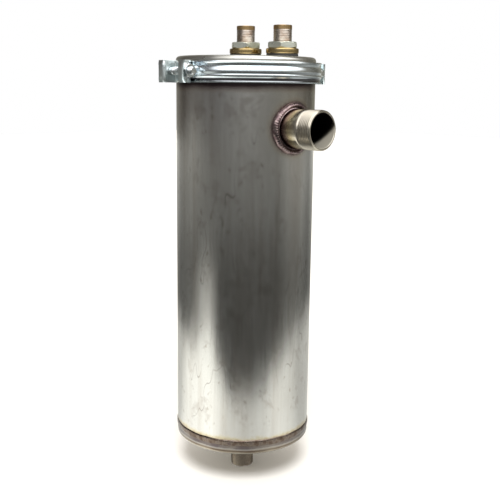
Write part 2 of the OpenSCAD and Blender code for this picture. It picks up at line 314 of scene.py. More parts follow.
class Look:
    """A procedural material: a Principled shader and the nodes that feed it."""

    def __init__(self, name, **constants):
        self.material = bpy.data.materials.new(name)
        self.material.use_nodes = True
        self.start(self.material.node_tree, "OutputMaterial", "Object")
        self.shader = self.add("BsdfPrincipled")
        self.tree.links.new(self.shader.outputs[0], self.out.inputs[0])
        for socket, value in constants.items():
            self.shader.inputs[socket.replace("_", " ")].default_value = value

    def start(self, tree, output, source):
        """An empty tree with its output node and its coordinates."""
        self.tree = tree
        self.tree.nodes.clear()
        self.out = self.add(output)
        self.where = Signal(self, self.add("TexCoord").outputs[source])

    def add(self, kind, **settings):
        node = self.tree.nodes.new("ShaderNode" + kind)
        for key, value in settings.items():
            setattr(node, key, value)
        return node

    def feed(self, socket, value):
        if isinstance(value, Signal):
            self.tree.links.new(value.socket, socket)
        else:
            socket.default_value = (*value, 1.0) if isinstance(value, tuple) else value

    def math(self, operation, *values, clamp=False):
        node = self.add("Math", operation=operation, use_clamp=clamp)
        for socket, value in zip(node.inputs, values):
            self.feed(socket, value)
        return Signal(self, node.outputs[0])

    def length(self, a, b):
        """The length of a vector with two parts."""
        return self.math("SQRT", a * a + b * b)

    def axes(self):
        node = self.add("SeparateXYZ")
        self.feed(node.inputs[0], self.where)
        return [Signal(self, socket) for socket in node.outputs]

    def noise(self, scale, stretch=(1, 1, 1), detail=4.0, rough=0.55, warp=0.0):
        """Noise of so many cells per metre, with each axis scaled by stretch."""
        mapping = self.add("Mapping")
        self.feed(mapping.inputs[0], self.where)
        mapping.inputs["Scale"].default_value = stretch
        node = self.add("TexNoise")
        self.tree.links.new(mapping.outputs[0], node.inputs["Vector"])
        for socket, value in (("Scale", scale), ("Detail", detail), ("Roughness", rough),
                              ("Distortion", warp)):
            node.inputs[socket].default_value = value
        return Signal(self, node.outputs[0])

    def ramp(self, factor, *stops, smooth=False):
        """Colour or grey by factor: stops are (place, value)."""
        node = self.add("ValToRGB")
        ramp = node.color_ramp
        ramp.interpolation = "EASE" if smooth else "LINEAR"
        while len(ramp.elements) < len(stops):
            ramp.elements.new(1.0)
        for element, (place, value) in zip(ramp.elements, stops):
            element.position = place
            tone = value if isinstance(value, tuple) else (value, value, value)
            element.color = (*tone, 1.0)
        self.feed(node.inputs[0], factor)
        return Signal(self, node.outputs[0])

    def blend(self, source, dark, light):
        """From one tone to the other over the middle of a noise."""
        return self.ramp(source, (0.3, dark), (0.7, light))

    def mix(self, factor, a, b, mode="MIX"):
        node = self.add("Mix", data_type="RGBA", blend_type=mode)
        for socket, value in zip((node.inputs[0], node.inputs[6], node.inputs[7]),
                                 (factor, a, b)):
            self.feed(socket, value)
        return Signal(self, node.outputs[2])

    def patches(self, base, source, low, high, most, colour):
        """The base, with up to most of a colour as the source goes from low to high."""
        return self.mix(self.ramp(source, (low, 0.0), (high, most)), base, colour)

    def span(self, value, low, high):
        """0 at low, 1 at high, clamped."""
        node = self.add("MapRange")
        for socket, part in zip(node.inputs, (value, low, high)):
            self.feed(socket, part)
        return Signal(self, node.outputs[0])

    def surface(self, colour, roughness, *bumps):
        """Feeds the shader. Each bump is (height source, depth in millimetres)."""
        self.feed(self.shader.inputs["Base Color"], colour)
        self.feed(self.shader.inputs["Roughness"], roughness)
        normal = None
        for height, depth in bumps:
            node = self.add("Bump")
            node.inputs["Strength"].default_value = 1.0
            node.inputs["Distance"].default_value = depth * MM
            self.feed(node.inputs["Height"], height)
            if normal is not None:
                self.feed(node.inputs["Normal"], normal)
            normal = Signal(self, node.outputs[0])
        self.feed(self.shader.inputs["Normal"], normal)
        return self.material


def tube_look():
    """Mill-finished sheet with upright grain, stains, heat tint at its welds, and painted shade
    below the clamp.
    """
    look = Look("stainless_tube", Metallic=1.0)
    x, y, z = look.axes()
    grain = look.noise(900, (1, 1, 0.03), detail=3)
    streak = look.noise(60, (1, 1, 0.06), detail=3, warp=0.4)
    cloud = look.noise(14, (1, 1, 0.5), detail=5, rough=0.6)
    spots = look.noise(170, (1, 1, 0.7), detail=2)
    stain = look.noise(42, (1, 1, 0.8), detail=6, rough=0.68, warp=0.3)
    steel = look.blend(cloud, (0.5, 0.485, 0.46), (0.62, 0.61, 0.59))
    steel = look.patches(steel, streak, 0.45, 0.72, 0.55, (0.4, 0.36, 0.32))
    steel = look.patches(steel, spots, 0.64, 0.74, 0.5, (0.3, 0.26, 0.22))
    steel = look.patches(steel, stain, 0.56, 0.66, 0.42, (0.34, 0.3, 0.27))
    # Thin wandering scratches, in some places only
    lines = look.noise(26, (1, 1, 0.3), detail=2, warp=0.15)
    scratch = look.ramp(look.math("ABSOLUTE", lines - 0.5), (0.0, 1.0), (0.0022, 0.0))
    some = look.ramp(look.noise(16, detail=1), (0.46, 0.0), (0.56, 0.7))
    steel = look.mix(scratch * some, steel, (0.24, 0.21, 0.19))
    # Straw and brown above the girth weld
    wobble = cloud * (8 * MM) - 4 * MM
    lick = look.noise(130, detail=3) * (9 * MM) - 4.5 * MM
    at_foot = look.span(z + wobble - tube_low.z + lick, -1 * MM, 9 * MM)
    foot_tint = look.ramp(
        at_foot, (0.0, (0.13, 0.09, 0.07)), (0.25, (0.3, 0.22, 0.14)),
        (0.55, (0.5, 0.43, 0.28)), (1.0, (0.6, 0.57, 0.5)))
    steel = look.mix(
        look.ramp(at_foot, (0.0, 0.95), (0.5, 0.8), (1.0, 0.0)), steel, foot_tint)
    # A dark ring round the outlet's weld
    away = look.length(y, z - OUTLET_Z) + wobble
    ring = look.span(away, OUTLET_WELD_R - 1 * MM, OUTLET_WELD_R + 8 * MM)
    port_tint = look.ramp(
        ring, (0.0, (0.08, 0.05, 0.05)), (0.16, (0.15, 0.1, 0.1)), (0.32, (0.34, 0.26, 0.23)),
        (0.6, (0.48, 0.41, 0.32)), (1.0, (0.56, 0.53, 0.48)))
    near_port = look.ramp(ring, (0.0, 0.95), (0.2, 0.9), (0.4, 0.5), (1.0, 0.0))
    steel = look.mix(look.math("GREATER_THAN", x, 0.0) * near_port, steel, port_tint)
    # Painted shade: a dark band on the tube just below the clamp's lower lip
    band_lip_shade = look.span(tube_high.z - (z + wobble), 20 * MM, 11.5 * MM)
    band_lip_shade_colour = look.ramp(
        band_lip_shade, (0.2, (0.34, 0.24, 0.18)), (0.6, (0.12, 0.07, 0.07)), (1.0, (0.04, 0.025, 0.03)))
    steel = look.mix(
        look.ramp(band_lip_shade, (0.0, 0.0), (0.5, 0.55), (0.9, 0.97)), steel, band_lip_shade_colour)
    dent = look.noise(22, (1, 1, 0.22), detail=2, rough=0.4)
    ripple = look.noise(75, (1, 1, 0.5), detail=3)
    rings = look.noise(1200, (0.03, 0.03, 1), detail=2)
    return look.surface(
        steel, look.blend(grain * 0.5 + cloud * 0.5, 0.13, 0.24), (dent, 0.8),
        (ripple, 0.1), (streak, 0.02), (rings, 0.003), (grain, 0.002))


def plate_look(name, light, dark, rough=(0.22, 0.38), lathed=False):
    """Pressed or turned stainless, with brushed or circular grain."""
    look = Look(name, Metallic=1.0)
    cloud = look.noise(40, detail=4)
    if lathed:
        x, y, z = look.axes()
        grain = look.math("SINE", look.length(x, y) * 9000.0) * 0.5 + 0.5
    else:
        grain = look.noise(700, (1, 1, 0.08), detail=3)
    return look.surface(
        look.blend(cloud, dark, light), look.blend(cloud, rough[1], rough[0]),
        (cloud, 0.05), (grain, 0.004))


def cap_look():
    """Base head: heat tint from the girth weld above, crossed by a painted highlight line and a
    painted shade line, and lighter towards its edge, partly as painted highlight.
    """
    look = Look("base_head_steel", Metallic=1.0)
    z = look.axes()[2]
    cloud = look.noise(45, (1, 1, 1.6), detail=4)
    grain = look.noise(700, (1, 1, 0.08), detail=3)
    drop = cap_high.z - z + (cloud * (2 * MM) - 1 * MM)
    # Heat tint rings, with a painted highlight line at 0.46, a painted shade line at 0.6, and a
    # lower edge lightened partly by painted highlight
    tint = look.ramp(
        look.span(drop, 0, 14 * MM), (0.0, (0.06, 0.04, 0.035)), (0.1, (0.12, 0.095, 0.095)),
        (0.38, (0.12, 0.1, 0.1)), (0.46, (0.3, 0.28, 0.27)), (0.53, (0.24, 0.2, 0.17)),
        (0.6, (0.07, 0.045, 0.03)), (0.68, (0.16, 0.12, 0.09)), (0.78, (0.42, 0.37, 0.3)),
        (1.0, (0.6, 0.55, 0.47)))
    return look.surface(
        look.patches(tint, cloud, 0.4, 0.65, 0.2, (0.52, 0.47, 0.38)),
        look.blend(cloud, 0.34, 0.2), (cloud, 0.15), (grain, 0.004))


def weld_look(name, *tones):
    """Weld metal in patches of four tones."""
    look = Look(name, Metallic=1.0)
    patch = look.noise(160, detail=4)
    fine = look.noise(1400, detail=3)
    return look.surface(
        look.ramp(patch, *zip((0.3, 0.44, 0.56, 0.68), tones)), look.blend(patch, 0.36, 0.2),
        (fine, 0.03))


def outlet_look():
    """Nipple: heat tinted next to its weld; in its bore, painted light low near the mouth, less
    metallic there, and painted shade deeper in and higher up.
    """
    look = Look("outlet_nipple_steel", Metallic=1.0)
    x, y, z = look.axes()
    cloud = look.noise(90, detail=4)
    lathe = look.noise(1500, (1, 0.05, 0.05), detail=2)
    along = look.span(x, 78 * MM, nipple_high.x) + (cloud * 0.16 - 0.08)
    tint = look.ramp(
        along, (0.0, (0.1, 0.06, 0.06)), (0.14, (0.22, 0.16, 0.12)), (0.26, (0.44, 0.36, 0.22)),
        (0.4, (0.5, 0.44, 0.33)), (0.52, (0.46, 0.42, 0.36)), (1.0, (0.5, 0.46, 0.39)))
    rise = z - OUTLET_Z
    inside = look.math("LESS_THAN", look.length(y, rise), OUTLET_BORE_R + 0.4 * MM)
    # Painted light and shade in the bore: light and matte low near the mouth, dark deeper in
    # and higher up
    bore_shade = look.span(nipple_high.x - x + rise * 1.1, 1.5 * MM, 11 * MM)
    bore = look.mix(bore_shade, (0.47, 0.45, 0.39), (0.035, 0.025, 0.028))
    bore_lit_matte = look.math("MAXIMUM", inside * (0.6 - bore_shade), 0.0)
    look.feed(look.shader.inputs["Metallic"], 1.0 - bore_lit_matte)
    return look.surface(
        look.mix(inside, tint, bore), inside * 0.12 + look.blend(cloud, 0.28, 0.16),
        (cloud, 0.03), (lathe, 0.006))


def zinc_look(name, light, dark, blue, rough=(0.12, 0.3), groove=None):
    """Bright zinc plate: cool, slightly rainbow-toned, with fine scratches.

    groove is the lowest and highest point of a formed channel, which gets a painted shade.
    """
    look = Look(name, Metallic=1.0)
    cloud = look.noise(55, detail=5)
    tone = look.noise(28, detail=2)
    scratch = look.noise(500, (1, 1, 7), detail=3, warp=1.5)
    base = look.patches(look.blend(cloud, dark, light), tone, 0.45, 0.7, 0.45, blue)
    base = look.patches(base, scratch, 0.62, 0.7, 0.35, (0.4, 0.44, 0.45))
    if groove:
        # Painted shade along the band's groove
        height, edge = look.axes()[2], 0.6 * MM
        above, below = (look.span(height, z - edge, z + edge) for z in groove)
        painted_groove_shade = look.math("SUBTRACT", above, below, clamp=True)
        base = look.mix(painted_groove_shade * 0.9, base, (0.08, 0.07, 0.08))
    return look.surface(
        base, look.blend(cloud, rough[1], rough[0]), (cloud, 0.08), (scratch, 0.01))


def brass_look(name, light, dark, rough=(0.2, 0.42), stain=0.5, rim=None):
    """Turned brass with brown tarnish in patches; rim colours a gland's top edge."""
    look = Look(name, Metallic=1.0)
    cloud = look.noise(120, detail=5, rough=0.6)
    turning = look.noise(2600, (0.05, 0.05, 1), detail=2)
    tarnish = look.noise(420, detail=3)
    base = look.ramp(cloud, (0.32, dark), (0.66, light))
    if rim:
        at_rim = look.span(look.axes()[2], GLAND_TOP - 4.9 * MM, GLAND_TOP - 4.4 * MM)
        base = look.mix(at_rim, base, rim)
    return look.surface(
        look.patches(base, tarnish, 0.55, 0.68, stain, (0.2, 0.13, 0.07)),
        look.blend(cloud, rough[1], rough[0]), (cloud, 0.03), (turning, 0.006))


def rubber_look(name):
    look = Look(name)
    fine = look.noise(900, detail=4)
    return look.surface(
        look.blend(fine, (0.012, 0.012, 0.012), (0.035, 0.034, 0.032)),
        look.blend(fine, 0.5, 0.72), (fine, 0.05))


def glass_look(name, tint, ior, rough):
    """Clear glass whose faint draw lines run along the tube."""
    look = Look(name, Transmission_Weight=1.0, IOR=ior)
    lines = look.noise(300, (1, 1, 0.02), detail=2)
    return look.surface(
        look.blend(lines, tint, (0.98, 0.99, 1.0)), look.blend(lines, rough, rough * 2),
        (lines, 0.01))


def ceramic_look():
    look = Look("lamp_ceramic", Coat_Weight=0.5)
    speck = look.noise(700, detail=3)
    return look.surface(
        look.ramp(speck, (0.3, (0.74, 0.71, 0.63)), (0.6, (0.86, 0.84, 0.78))),
        look.blend(speck, 0.35, 0.22), (speck, 0.02))


TUBE = tube_look()
CAP = cap_look()
RING = plate_look("flange_steel", (0.66, 0.63, 0.57), (0.48, 0.42, 0.35))
LID = plate_look("lid_steel", (0.66, 0.65, 0.61), (0.5, 0.49, 0.45), lathed=True)
WELD = weld_look(
    "girth_weld_bead", (0.09, 0.06, 0.045), (0.13, 0.095, 0.075), (0.18, 0.145, 0.12),
    (0.12, 0.09, 0.085))
PORT_WELD = weld_look(
    "port_weld_bead", (0.13, 0.085, 0.09), (0.2, 0.14, 0.145), (0.3, 0.23, 0.22),
    (0.17, 0.12, 0.14))
OUTLET = outlet_look()
NIPPLE = plate_look("nipple_steel", (0.46, 0.41, 0.35), (0.26, 0.21, 0.18), (0.16, 0.28))
ZINC = zinc_look(
    "zinc_band", (0.86, 0.92, 0.95), (0.7, 0.77, 0.8), (0.74, 0.82, 0.92),
    groove=(CLAMP_Z - 9.6 * MM, CLAMP_Z - 5.9 * MM))
ZINC_LUG = zinc_look(
    "zinc_lug", (0.82, 0.88, 0.88), (0.62, 0.7, 0.7), (0.7, 0.8, 0.8), (0.24, 0.44))
ZINC_BOLT = zinc_look("zinc_bolt", (0.84, 0.87, 0.88), (0.6, 0.64, 0.66), (0.7, 0.76, 0.8))
LOCKNUT = zinc_look(
    "plated_locknut", (0.95, 0.97, 0.87), (0.84, 0.87, 0.76), (0.9, 0.93, 0.82), (0.2, 0.4))
BRASS = brass_look(
    "gland_brass", (0.6, 0.55, 0.5), (0.36, 0.27, 0.21), (0.26, 0.38), 0.15, (0.5, 0.34, 0.17))
COLLAR = brass_look(
    "collar_brass", (0.58, 0.44, 0.21), (0.42, 0.3, 0.14), (0.15, 0.27), 0.3)
NUT_BRASS = brass_look("sleeve_nut_brass", (0.7, 0.56, 0.28), (0.52, 0.39, 0.17))
RUBBER = rubber_look("black_rubber")
QUARTZ = glass_look("quartz_glass", (0.93, 0.96, 0.98), 1.46, 0.02)
LAMP_GLASS = glass_look("lamp_glass", (0.9, 0.93, 0.97), 1.5, 0.03)
CERAMIC = ceramic_look()
PIN = plate_look("pin_metal", (0.8, 0.79, 0.76), (0.66, 0.65, 0.62))


# ---- housing ----

def housing_tube():
    """Both walls of the tube on one grid, with the outlet's hole cut round."""
    columns = 192
    fine, coarse, near_hole = mm(1.6, 7, 4)
    heights = [tube_low.z]
    while heights[-1] < tube_high.z:
        gap = abs(heights[-1] - OUTLET_Z) - OUTLET_R
        heights.append(heights[-1] + (fine if gap < near_hole else coarse))
    heights[-1] = tube_high.z
    bm = bmesh.new()

    def wall(radius):
        return [[bm.verts.new((radius * math.cos(TAU * i / columns),
                               radius * math.sin(TAU * i / columns), z))
                 for i in range(columns)] for z in heights]

    outer, inner = wall(TUBE_R), wall(TUBE_RI)
    outer_faces, inner_faces = skin(bm, outer), skin(bm, inner)
    for row in (0, -1):
        skin(bm, [outer[row], inner[row]])

    def in_hole(face):
        c = face.calc_center_median()
        return c.x > 0 and math.hypot(c.y, c.z - OUTLET_Z) < OUTLET_R

    pairs = [pair for pair in zip(outer_faces, inner_faces) if in_hole(pair[0])]
    cut = {face for pair in pairs for face in pair}
    cut_outside = {pair[0] for pair in pairs}
    rim_edges = [e for e in {e for f in cut_outside for e in f.edges}
                 if sum(f in cut_outside for f in e.link_faces) == 1]
    bmesh.ops.delete(bm, geom=list(cut), context="FACES_ONLY")
    inner_of = {}
    for outer_row, inner_row in zip(outer, inner):
        inner_of.update(zip(outer_row, inner_row))
    for v in {v for e in rim_edges for v in e.verts}:
        y, z = v.co.y, v.co.z - OUTLET_Z
        grow = OUTLET_R / math.hypot(y, z)
        for vert, radius in ((v, TUBE_R), (inner_of[v], TUBE_RI)):
            vert.co.y = y * grow
            vert.co.z = OUTLET_Z + z * grow
            vert.co.x = math.sqrt(radius ** 2 - vert.co.y ** 2)
    for edge in rim_edges:
        a, b = edge.verts
        bm.faces.new((a, b, inner_of[b], inner_of[a]))
    loose = [v for v in bm.verts if not v.link_faces]
    bmesh.ops.delete(bm, geom=loose, context="VERTS")
    make_piece("housing_shell", mesh_from(bm, "housing_shell"), "vessel",
               "housing_tube", TUBE, sharp=50)


def base_cap():
    z0, z1 = cap_low.z, cap_high.z
    inside = TUBE_R - CAP_WALL
    rings = rounded([
        (INLET_R, z0, 0), (TUBE_R, z0, 5 * MM), (TUBE_R, z1, 0), (inside, z1, 0),
        (inside, z0 + CAP_WALL, 2.5 * MM), (INLET_R, z0 + CAP_WALL, 0)], steps=8)
    turned("base_head", rings, 192, "vessel", "base_cap", CAP)


def base_weld():
    """Girth weld: a low bead with crescent ripples, over its root gap."""
    bead_r, z0, z1 = round_node("base_weld")
    middle, half = (z0 + z1) / 2, 3.6 * MM
    root, tuck, ripples = TUBE_R - 2.4 * MM, 1.4 * MM, 190

    def bead(t):
        def ring(angle):
            edge = 1 + 0.1 * math.sin(7 * angle) * math.sin(11 * angle + 1)
            phase = angle * ripples + 2.2 * t * t
            crown = 0.85 * MM * (1 - t ** 4) * (1 + 0.05 * math.sin(phase))
            return TUBE_R + crown, middle + half * t * edge
        return ring
    rings = [(root, z0 + tuck), (root, z1 - tuck)]
    rings += [bead(1 - 2 * k / 8) for k in range(9)]
    turned("girth_weld", rings, 760, "vessel", "base_weld", WELD, sharp=60)


def inlet_nipple():
    r, z0, z1 = round_node("inlet_nipple")
    rings = [(INLET_BORE_R, z1), (r, z1)]
    rings += thread(INLET_THREAD_R, 0.7 * MM, INLET_PITCH, z0 + INLET_THREAD_LENGTH, z0,
                    fade0=2 * INLET_PITCH, chamfer=1 * MM)
    rings += [(INLET_BORE_R + 0.4 * MM, z0), (INLET_BORE_R, z0 + 0.4 * MM)]
    turned("inlet_pipe", rings, 96, "vessel", "inlet_nipple", NIPPLE)


def inlet_weld():
    outer, z0, z1 = round_node("inlet_weld")

    def bead(t):
        def ring(angle):
            wave = 1 + 0.12 * math.sin(52 * angle + 2 * t)
            bulge = 0.49 * MM * math.sin(math.pi * t) * wave
            r = INLET_R + (outer - INLET_R) * (1 - t) + bulge
            return r, max(z1 - (z1 - z0) * t - bulge, z0)
        return ring
    rings = [(INLET_R, z1)] + [bead(k / 7) for k in range(8)]
    turned("inlet_fillet_weld", rings, 312, "vessel", "inlet_weld", WELD,
           sharp=60)


def outlet_nipple():
    mouth = nipple_high.x
    rings = [(OUTLET_BORE_R, nipple_low.x), (OUTLET_R, nipple_low.x)]
    rings += thread(
        OUTLET_THREAD_R, 1.25 * MM, OUTLET_PITCH, mouth - OUTLET_THREAD_LENGTH, mouth,
        fade0=1.5 * OUTLET_PITCH, chamfer=1.3 * MM)
    rings += [(OUTLET_BORE_R + 0.5 * MM, mouth), (OUTLET_BORE_R, mouth - 0.6 * MM)]
    turned("outlet_pipe", rings, 144, "vessel", "outlet_nipple", OUTLET,
           place=along_x(0, 0, OUTLET_Z))


def outlet_weld():
    """Raised round bead where the nipple meets the tube, with a groove inside it."""
    groove, groove_lift, sunk = OUTLET_R + 1.1 * MM, 1.2 * MM, -1.0 * MM
    ripples, columns, steps = 62, 496, 12
    bm = bmesh.new()
    rows = []
    for i in range(columns):
        angle = TAU * i / columns
        toe = OUTLET_WELD_R * (
            1 + 0.01 * math.sin(5 * angle) + 0.006 * math.sin(13 * angle + 2))

        def point(radius, lift):
            y, z = radius * math.cos(angle), radius * math.sin(angle)
            return Vector((math.sqrt(TUBE_R ** 2 - y * y) + lift, y, OUTLET_Z + z))
        column = [point(OUTLET_R, sunk), point(toe, sunk), point(toe, 0.0)]
        for k in range(1, steps):
            t = k / steps
            wave = math.sin(ripples * angle + 2.4 * (2 * t - 1) ** 2)
            height = (3.2 + 0.12 * wave) * MM * math.sin(math.pi * t) ** 0.6
            column.append(point(toe + (groove - toe) * t, height + groove_lift * t))
        column += [point(groove, groove_lift), point(OUTLET_R, 1.6 * MM)]
        rows.append([bm.verts.new(p) for p in column])
    skin(bm, rows + rows[:1])
    make_piece("outlet_fillet_weld", mesh_from(bm, "outlet_fillet_weld"), "vessel",
               "outlet_weld", PORT_WELD, sharp=60)


def vessel_flange():
    r, z0, z1 = round_node("vessel_flange")
    slope = (r - TUBE_R) * math.tan(math.radians(20))
    rings = rounded(
        [(TUBE_R, z0, 0), (r, z0 + slope, 0.4 * MM), (r, z1, 0.3 * MM), (TUBE_R, z1, 0)])
    turned("vessel_flange_ring", rings, 160, "vessel", "vessel_flange", RING)


def lid():
    """Pressed lid with a rolled edge, a flange below and two gland holes."""
    z0, z1 = round_node("lid")[1:]
    inside, rim = LID_R - LID_WALL, z0 + 5.5 * MM
    rings = rounded([
        (0, z1 - LID_WALL, 0), (inside, z1 - LID_WALL, 1 * MM), (inside, z0, 0),
        (FLANGE_R, z0, 0.3 * MM), (FLANGE_R, rim, 0.4 * MM),
        (LID_R, rim + 0.6 * MM, 0.5 * MM), (LID_R, z1, 4 * MM), (0, z1, 0)], steps=8)
    mesh = revolve("lid_plate", rings, 192)
    for side in SIDES:
        mesh = drilled(
            mesh, 10.8 * MM, z1 - 2 * LID_WALL, z1 + LID_WALL, 64, gland_place(side))
    make_piece("lid_plate", mesh, "vessel", "lid", LID)


def lid_gasket():
    rings = ring_section(TUBE_RI, *round_node("lid_gasket"), *mm(0.6, 0.6, 0.4))
    turned("lid_gasket_ring", rings, 160, "vessel", "lid_gasket", RUBBER)


# ---- clamp ring ----

# Outer line of the band in millimetres: radius, height from its middle
BAND_LINE = [
    (83.4, -10.95), (83.5, -10.1), (83.2, -9.95), (82.2, -9.7), (82.0, -9.2),
    (82.0, -8.0), (82.05, -7.0), (82.3, -6.4), (83.2, -5.6), (83.7, -4.6),
    (83.8, -3.1), (83.75, -2.75), (83.5, -2.35), (83.35, -2.15), (83.4, -2.0),
    (83.6, -1.2), (84.0, 0.0), (84.1, 0.5), (84.0, 1.4), (83.85, 2.6),
    (83.6, 3.8), (83.3, 4.9), (82.9, 5.7), (82.4, 6.2), (82.8, 8.0),
    (83.2, 9.6), (83.6, 9.8), (83.3, 10.95),
]
BAND_WALL = 1.4
LUG_FOOT_R, LUG_EAR_X, LUG_FLANGE_Y, LUG_END_X = mm(85.15, 13.3, 99.8, 22)


def clamp_half(name, rings, segments, node, sharp=35):
    """A half ring on each clamp half, from the same section."""
    arc = (-math.pi / 2 + CLAMP_SLIT, math.pi / 2 - CLAMP_SLIT)
    for half, turn in CLAMP_HALVES.items():
        turned(name + half, rings, segments, "clamp_" + half, node + half,
               ZINC, arc, about_z(CLAMP_TURN + turn), sharp)


def clamp_bands():
    """The formed strap of each half: the outer line, then its inner face."""
    inner = [(r - BAND_WALL, z) for r, z in reversed(BAND_LINE)]
    rings = [(r * MM, CLAMP_Z + z * MM) for r, z in BAND_LINE + inner]
    clamp_half("clamp_strap_", rings, 144, "clamp_band_", sharp=50)


def clamp_retainers():
    """V channels spot welded inside the straps."""
    low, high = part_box("clamp_retainer_front")
    lower_half = [(77.6, 1.3, 0.3), (77.6, 0, 0.3), (80.3, 1.1, 0.8)]
    corners = [(r * MM, low.z + rise * MM, soft * MM) for r, rise, soft in lower_half]
    corners += [
        (r * MM, high.z - rise * MM, soft * MM) for r, rise, soft in reversed(lower_half)]
    web = 79.3 * MM
    corners += [(web, high.z - 1.9 * MM, 0), (web, low.z + 1.9 * MM, 0)]
    clamp_half("clamp_v_channel_", rounded(corners), 96, "clamp_retainer_")


def lug_path():
    """A lug's middle line, seen from above: foot, ear and turned-out flange."""
    bend, ear_foot = mm(2.4, 84.3)

    def corner(x, y, start, end):
        angles = [math.radians(start + (end - start) * k / 5) for k in range(6)]
        return [Vector((x + bend * math.cos(a), y + bend * math.sin(a))) for a in angles]
    foot = [Vector((x * MM, math.sqrt(LUG_FOOT_R ** 2 - (x * MM) ** 2)))
            for x in (1.5, 4, 6.5, 9)]
    ear = [Vector((LUG_EAR_X, y * MM)) for y in (89, 91, 93, 95)]
    flange = [Vector((x, LUG_FLANGE_Y)) for x in (17.5 * MM, 19.5 * MM, LUG_END_X)]
    return (foot + corner(LUG_EAR_X - bend, ear_foot + bend, -80, 0) + ear
            + corner(LUG_EAR_X + bend, LUG_FLANGE_Y - bend, 180, 90) + flange)


def lug_mesh(name, flip):
    """One formed lug; flip is 1 or -1 and mirrors it to the half's other end."""
    thick, hole_reach = mm(2.2, 12)
    foot_points, lip_from = 4, 16
    path = lug_path()
    rows = (-1, -0.93, -0.84, -0.72, -0.4, 0, 0.4, 0.72, 0.84, 0.93, 1)
    bm = bmesh.new()
    sheets = []
    for face in (0.5, -0.5):
        grid = []
        for i, p in enumerate(path):
            ahead = (path[min(i + 1, len(path) - 1)] - path[max(i - 1, 0)]).normalized()
            side = Vector((ahead.y, -ahead.x))
            half_h = (9.5 if i < foot_points else 11.5) * MM
            line = []
            for v in rows:
                lip = 1.3 * MM * max(0.0, abs(v) - 0.7) / 0.3 if i >= lip_from else 0.0
                q = p + side * (face * thick + lip)
                if i == len(path) - 1:
                    q.x += 1.6 * MM * v ** 4 - 0.6 * MM
                line.append(bm.verts.new((q.x, q.y * flip, CLAMP_Z + half_h * v)))
            grid.append(line)
        sheets.append(grid)
    for grid in sheets:
        skin(bm, grid, closed=False)
    for end in (0, -1):
        skin(bm, [[line[end] for line in grid] for grid in sheets], closed=False)
        skin(bm, [grid[end] for grid in sheets], closed=False)
    place = along_x(LUG_EAR_X - hole_reach, flip * BOLT_Y, BOLT_Z)
    mesh = drilled(mesh_from(bm, name), 4.5 * MM, 0, 2 * hole_reach, 48, place)
    return modified(mesh, "BEVEL", width=0.35 * MM, segments=2, limit_method="ANGLE",
                    angle_limit=math.radians(40), harden_normals=False)


def clamp_lugs():
    for half, turn in CLAMP_HALVES.items():
        for flip, end in ((1, "a"), (-1, "b")):
            name = f"clamp_lug_{half}_{end}"
            mesh = lug_mesh(name, flip)
            mesh.transform(about_z(CLAMP_TURN + turn))
            make_piece(name, mesh, "clamp_" + half, "clamp_lugs_" + half,
                       ZINC_LUG, sharp=40)


def bolt_place(x, y):
    """Matrix that lays a mesh made along +Z on a bolt's axis, from x onwards."""
    return about_z(CLAMP_TURN) @ along_x(x, y, BOLT_Z)


def clamp_fasteners():
    """On each side a bolt, two washers and a nut."""
    ear_face, washer_t, head_t, nut_t = mm(14.5, 1.6, 5.3, 6.5)
    af, washer_r, bolt_end, gap = mm(13, 8, 28.5, 0.05)
    head_x = -ear_face - washer_t
    length = bolt_end - head_x
    bore = BOLT_R + gap
    for side, y in zip(SIDES, (-BOLT_Y, BOLT_Y)):
        rings = [(0, -head_t), (af * 0.46, -head_t)] + hex_rings(af, -head_t, 0)
        rings += [(BOLT_R + 0.2 * MM, 0), (BOLT_R, 0.3 * MM), (BOLT_R, 9 * MM)]
        rings += thread(
            BOLT_R, 0.72 * MM, BOLT_PITCH, 9.2 * MM, length, fade0=BOLT_PITCH, chamfer=0.9 * MM)
        turned("clamp_bolt_" + side, rings + [(0, length)], 72, "clamp_rear",
               "clamp_bolts", ZINC_BOLT, place=bolt_place(head_x, y))
        for half, x in (("front", ear_face), ("rear", head_x)):
            washer = ring_section(
                BOLT_R + 0.2 * MM, washer_r, 0, washer_t, 0.3 * MM, 0.3 * MM, 0.1 * MM, steps=3)
            turned(f"clamp_washer_{half}_{side}", washer, 64, "clamp_" + half,
                   "clamp_washers_" + half, ZINC_BOLT,
                   place=bolt_place(x, y))
        rings = [(bore, 0.5 * MM), (bore + 0.5 * MM, 0)] + hex_rings(af, 0, nut_t)
        rings += [(bore + 0.5 * MM, nut_t), (bore, nut_t - 0.5 * MM)]
        place = bolt_place(ear_face + washer_t + gap, y) @ about_z(0.35)
        turned("clamp_hex_nut_" + side, rings, 72, "clamp_nut_" + side,
               "clamp_nut_" + side, ZINC_BOLT, place=place, sharp=28)


# ---- glands, sleeves and lamps ----

GLAND_FLANGE_R = 18 * MM
SLEEVE_CHAMBER_R = 11.8 * MM


